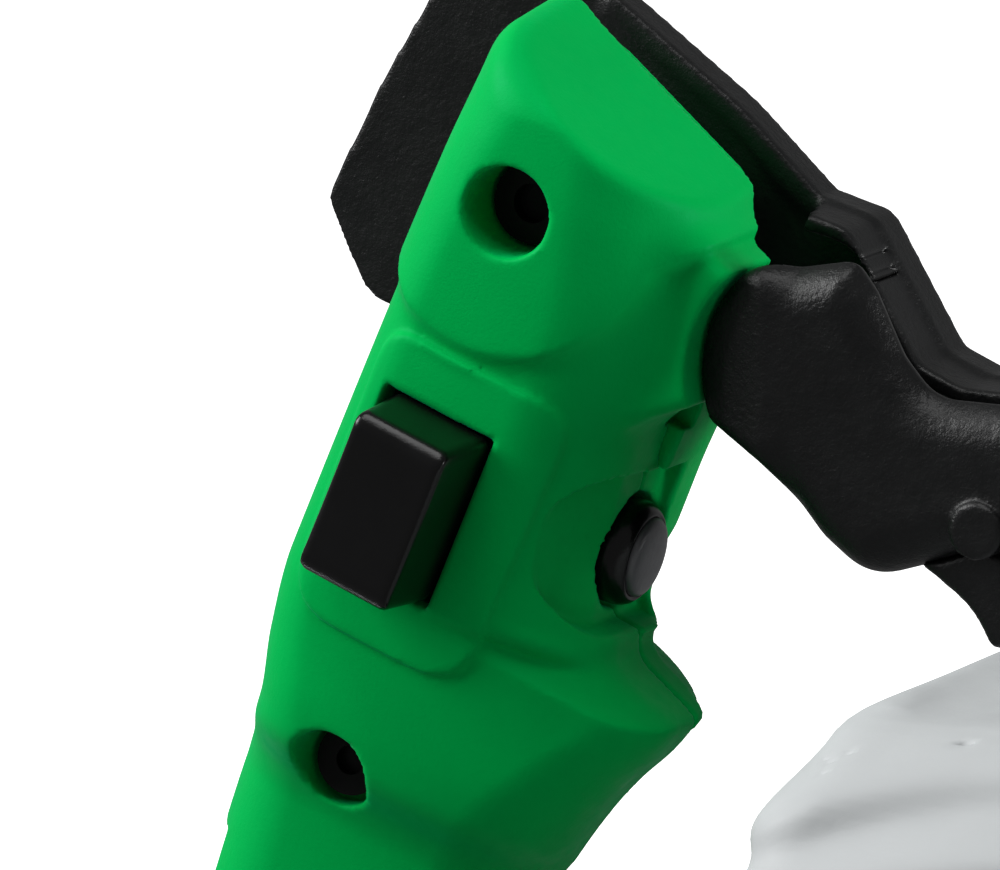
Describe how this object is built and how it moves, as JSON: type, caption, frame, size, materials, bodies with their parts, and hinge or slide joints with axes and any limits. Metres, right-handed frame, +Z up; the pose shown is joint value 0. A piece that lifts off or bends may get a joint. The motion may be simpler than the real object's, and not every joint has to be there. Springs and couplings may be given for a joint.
{
  "type": "string trimmer",
  "caption": "Petrol string trimmer: two-shell pistol control handle with thumb button, stop rocker and closing bow, straight shaft, engine, line head and guard.",
  "frame": {"origin": "middle of the engine stand's foot, on the ground under the cylinder", "axes": "+X along the shaft to the cutting head, +Y to the user's left, +Z up"},
  "size_m": [1.7195, 0.281, 0.3067],
  "materials": {
    "shell_green": "fine moulded texture",
    "black_nylon": "coarse spark texture",
    "switch_black": "semi-gloss",
    "button_grey": "satin",
    "cowl_grey": "satin",
    "housing_grey": "fine texture",
    "tank_white": "translucent",
    "tube_metal": "anodised",
    "cast_metal": "as cast",
    "steel": "machined",
    "zinc_steel": "zinc plated",
    "black_oxide": "blackened screw heads",
    "muffler_steel": "heat-resistant paint",
    "grip_rubber": "soft moulded",
    "bulb_rubber": "soft, clear red",
    "filter_foam": "open foam",
    "line_nylon": "extruded nylon",
    "ceramic_white": "glazed",
    "rope_fibre": "braided",
    "bush_bronze": "sintered"
  },
  "bodies": {
    "frame": {"handle_shell_left": "shell_green", "handle_shell_right": "shell_green", "head_bolt": "black_oxide", "handle_screws": "black_oxide", "trigger_spring": "steel", "button_spring": "steel", "switch_contacts": "black_nylon", "bow_plate": "black_nylon", "bow_arm": "black_nylon", "bow_stay": "black_nylon", "shaft_tube": "tube_metal", "drive_shaft_bushes": "bush_bronze", "handle_saddle": "black_nylon", "handle_clamp": "black_nylon", "harness_eyelet": "zinc_steel", "front_handle_bracket": "black_nylon", "front_handle_knob": "black_nylon", "clutch_housing": "black_nylon", "crankcase": "cast_metal", "cylinder": "cast_metal", "spark_plug": "ceramic_white", "ignition_coil": "switch_black", "muffler": "muffler_steel", "engine_cowl": "cowl_grey", "carburettor": "cast_metal", "air_filter_cover": "black_nylon", "air_filter": "filter_foam", "fuel_tank": "tank_white", "engine_stand": "black_nylon", "starter_housing": "shell_green", "gear_case": "cast_metal", "output_bearings": "steel", "debris_guard": "black_nylon", "guard_bracket": "cast_metal", "line_cutter": "steel", "throttle_cable": "black_nylon"},
    "trigger": {"throttle_trigger": "switch_black"},
    "lock_button": {"throttle_lock_button": "button_grey"},
    "switch": {"stop_switch": "switch_black"},
    "drive_line": {"drive_shaft": "steel", "clutch_drum": "steel", "drive_pinion": "steel"},
    "crank": {"crankshaft": "steel", "clutch_shoes": "steel", "flywheel": "cast_metal"},
    "cutting_head": {"output_shaft": "steel", "output_gear": "steel", "spool_housing": "black_nylon", "cutting_line": "line_nylon", "line_spool": "housing_grey", "spool_spring": "steel"},
    "bump": {"bump_knob": "shell_green"},
    "front_loop": {"front_handle": "grip_rubber"},
    "carburettor_lever": {"throttle_lever": "zinc_steel"},
    "choke": {"choke_lever": "switch_black"},
    "primer": {"primer_bulb": "bulb_rubber"},
    "tank_cap": {"fuel_cap": "shell_green"},
    "pulley": {"starter_pulley": "housing_grey"},
    "pull_grip": {"starter_grip": "grip_rubber", "starter_rope": "rope_fibre"}
  },
  "joints": [
    {"name": "trigger_pull", "type": "hinge", "parent": "frame", "child": "trigger", "pos_m": [0.13393, 0, 0.20763], "axis": [0, 1, 0], "range_deg": [0, 13], "stiffness_Nm_per_rad": 1.2, "springref_deg": -5.73},
    {"name": "lock_button_press", "type": "slide", "parent": "frame", "child": "lock_button", "axis": [0.9205, 0, 0.3907], "range_m": [0, 0.0025], "stiffness_N_per_m": 800, "springref_m": -0.001, "deforming": ["button_spring"]},
    {"name": "stop_switch_rock", "type": "hinge", "parent": "frame", "child": "switch", "pos_m": [0.11798, 0.0184, 0.25442], "axis": [0.9205, 0, 0.3907], "range_deg": [-6, 6]},
    {"name": "head_spin", "type": "hinge", "parent": "frame", "child": "cutting_head", "pos_m": [1.5, 0, 0.135], "axis": [0.5, 0, -0.866], "continuous": true},
    {"name": "drive_spin", "type": "hinge", "parent": "frame", "child": "drive_line", "pos_m": [1, 0, 0.135], "axis": [1, 0, 0], "continuous": true},
    {"name": "bump_press", "type": "slide", "parent": "cutting_head", "child": "bump", "axis": [-0.5, 0, 0.866], "range_m": [0, 0.004], "stiffness_N_per_m": 2500, "springref_m": -0.004},
    {"name": "crank_spin", "type": "hinge", "parent": "frame", "child": "crank", "pos_m": [0, 0, 0.135], "axis": [1, 0, 0], "continuous": true},
    {"name": "front_loop_tilt", "type": "hinge", "parent": "frame", "child": "front_loop", "pos_m": [0.48, 0, 0.161], "axis": [0, 1, 0], "range_deg": [-20, 20]},
    {"name": "throttle_lever_turn", "type": "hinge", "parent": "frame", "child": "carburettor_lever", "pos_m": [-0.012, 0.053, 0.2], "axis": [0, 0, 1], "range_deg": [0, 33]},
    {"name": "choke_turn", "type": "hinge", "parent": "frame", "child": "choke", "pos_m": [0.022, 0.095, 0.201], "axis": [0, 1, 0], "range_deg": [0, 55]},
    {"name": "primer_press", "type": "slide", "parent": "frame", "child": "primer", "axis": [0, -1, 0], "range_m": [0, 0.003], "stiffness_N_per_m": 1500, "springref_m": -0.001},
    {"name": "fuel_cap_turn", "type": "hinge", "parent": "frame", "child": "tank_cap", "pos_m": [0.04, 0.065, 0.058], "axis": [0, 1, 0], "range_deg": [0, 90]},
    {"name": "starter_pull", "type": "slide", "parent": "frame", "child": "pull_grip", "axis": [0, 1, 0], "range_m": [0, 0.05], "stiffness_N_per_m": 60, "springref_m": -0.1},
    {"name": "pulley_turn", "type": "hinge", "parent": "frame", "child": "pulley", "pos_m": [-0.09, 0, 0.135], "axis": [1, 0, 0], "range_deg": [-110, 0]}
  ],
  "couplings": [
    {"joint": "drive_spin", "follows": "head_spin", "ratio": -1.3571},
    {"joint": "throttle_lever_turn", "follows": "trigger_pull", "ratio": 2.4},
    {"joint": "pulley_turn", "follows": "starter_pull", "rad_per_m": -36.9}
  ]
}
